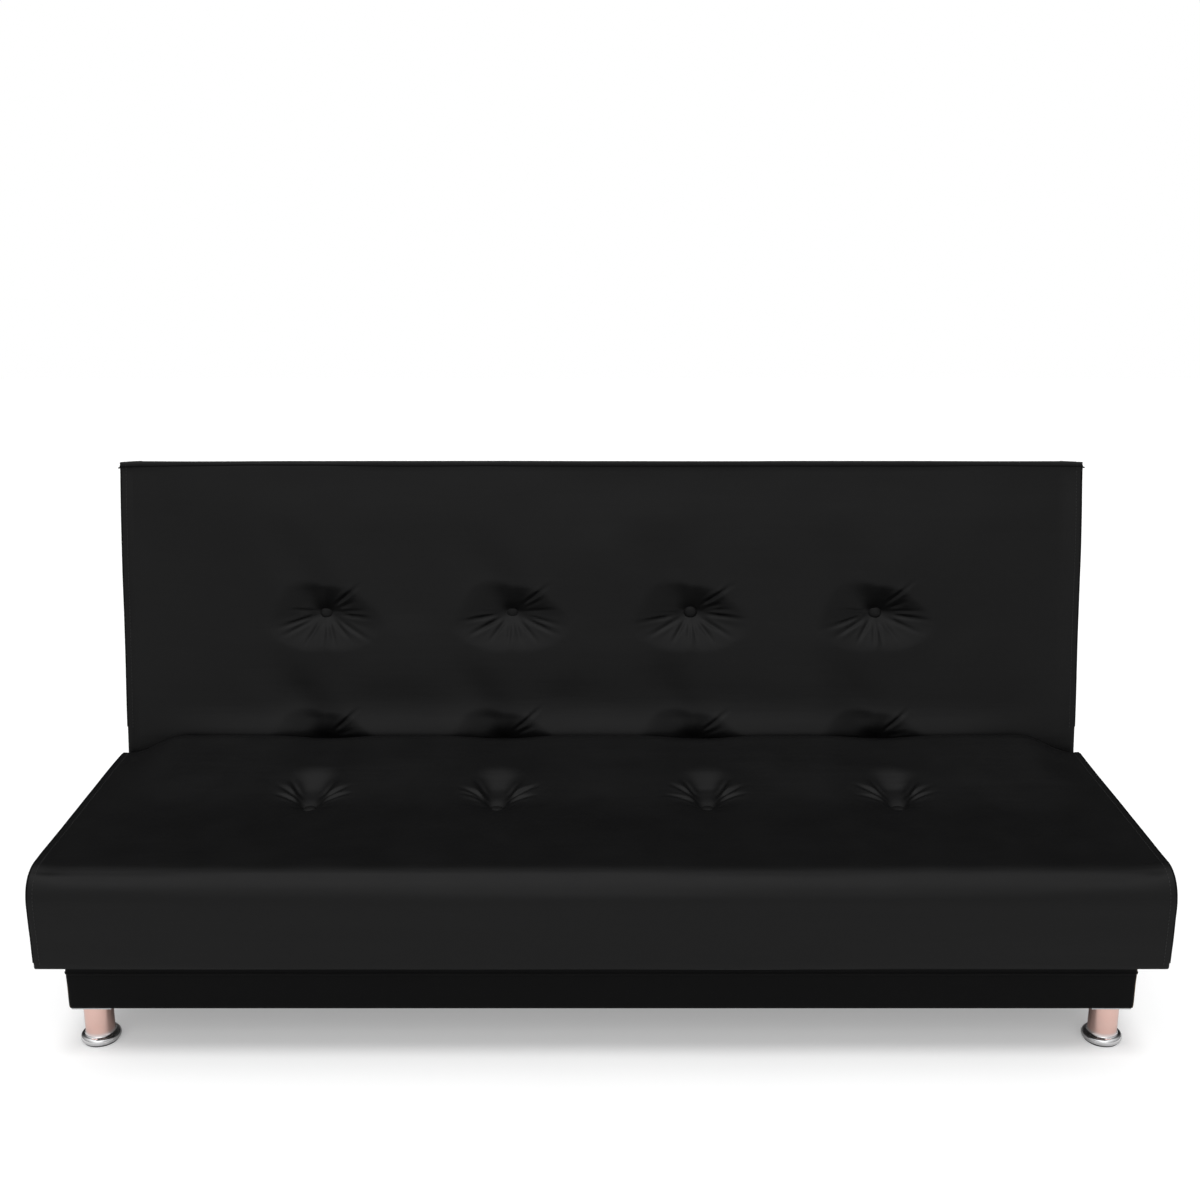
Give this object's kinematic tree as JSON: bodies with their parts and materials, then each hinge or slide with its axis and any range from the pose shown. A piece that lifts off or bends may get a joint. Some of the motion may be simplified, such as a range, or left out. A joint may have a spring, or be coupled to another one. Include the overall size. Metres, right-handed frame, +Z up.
{
  "type": "futon sofa bed",
  "caption": "Armless click-clack sofa bed: a tufted seat and a tufted back that reclines flat on ratchet hinges, over a low upholstered plinth on short chrome feet.",
  "frame": {"origin": "on the floor, under the middle of the whole object in the sitting position", "axes": "+X along the sofa to its right end as seen from the front, +Y from the seat's front edge to the back, +Z up"},
  "size_m": [1.85, 0.7846, 0.9208],
  "materials": {
    "faux_leather": "satin",
    "button_leather": "satin",
    "lining_cloth": "matte",
    "foam": "matte",
    "webbing": "matte",
    "twine": "matte",
    "frame_wood": "matte",
    "chrome_feet": "polished",
    "black_plastic": "matte",
    "nylon": "matte",
    "zinc_steel": "satin",
    "spring_steel": "satin"
  },
  "bodies": {
    "base": {"base_front_rail": "frame_wood", "base_rear_rail": "frame_wood", "base_end_rail_left": "frame_wood", "base_end_rail_right": "frame_wood", "base_cross_rails": "frame_wood", "base_corner_blocks": "frame_wood", "base_cover": "faux_leather", "base_dust_cover": "lining_cloth", "foot_plates": "zinc_steel", "foot_glides": "black_plastic", "foot_screws": "zinc_steel", "foot_bolts": "zinc_steel", "foot_front_left": "chrome_feet", "foot_rear_left": "chrome_feet", "foot_front_right": "chrome_feet", "foot_rear_right": "chrome_feet", "hinge_base_bolts": "zinc_steel", "hinge_base_bracket_left": "zinc_steel", "hinge_base_bracket_right": "zinc_steel"},
    "seat": {"seat_cover": "faux_leather", "seat_foam": "foam", "seat_edge_foam": "foam", "seat_webbing": "webbing", "seat_dust_cover": "lining_cloth", "seat_buttons": "button_leather", "seat_button_ties": "twine", "seat_tie_anchors": "black_plastic", "seat_front_rail": "frame_wood", "seat_rear_rail": "frame_wood", "seat_side_rail_left": "frame_wood", "seat_side_rail_right": "frame_wood", "seat_cross_rails": "frame_wood", "hinge_seat_spacers": "zinc_steel", "hinge_seat_bolts": "zinc_steel", "hinge_washers": "nylon", "pawl_pins": "zinc_steel", "pawl_springs": "spring_steel", "hinge_seat_arm_left": "zinc_steel", "hinge_pivot_pin_left": "zinc_steel", "hinge_seat_arm_right": "zinc_steel", "hinge_pivot_pin_right": "zinc_steel"},
    "back": {"back_cover": "faux_leather", "back_rear_cover": "lining_cloth", "back_foam": "foam", "back_edge_foam": "foam", "back_webbing": "webbing", "back_buttons_upper": "button_leather", "back_buttons_lower": "button_leather", "back_button_ties": "twine", "back_tie_anchors": "black_plastic", "back_top_rail": "frame_wood", "back_bottom_rail": "frame_wood", "back_stile_left": "frame_wood", "back_stile_right": "frame_wood", "back_cross_rails": "frame_wood", "hinge_back_bolts": "zinc_steel", "hinge_back_arm_left": "zinc_steel", "hinge_back_arm_right": "zinc_steel"},
    "pawl_left": {"pawl_left": "zinc_steel"},
    "pawl_right": {"pawl_right": "zinc_steel"}
  },
  "joints": [
    {"name": "seat_lift", "type": "hinge", "parent": "base", "child": "seat", "pos_m": [0, 0.20474, 0.32782], "axis": [-1, 0, 0], "range_deg": [0, 16]},
    {"name": "back_recline", "type": "hinge", "parent": "seat", "child": "back", "pos_m": [0, 0.20474, 0.32782], "axis": [1, 0, 0], "range_deg": [-79.4, 12]},
    {"name": "pawl_left_lift", "type": "hinge", "parent": "seat", "child": "pawl_left", "pos_m": [-0.907, 0.16772, 0.268], "axis": [-1, 0, 0], "range_deg": [0, 14], "stiffness_Nm_per_rad": 0.5, "springref_deg": -11.46, "deforming": ["pawl_springs"]},
    {"name": "pawl_right_lift", "type": "hinge", "parent": "seat", "child": "pawl_right", "pos_m": [0.907, 0.16772, 0.268], "axis": [-1, 0, 0], "range_deg": [0, 14], "stiffness_Nm_per_rad": 0.5, "springref_deg": -11.46, "deforming": ["pawl_springs"]}
  ]
}
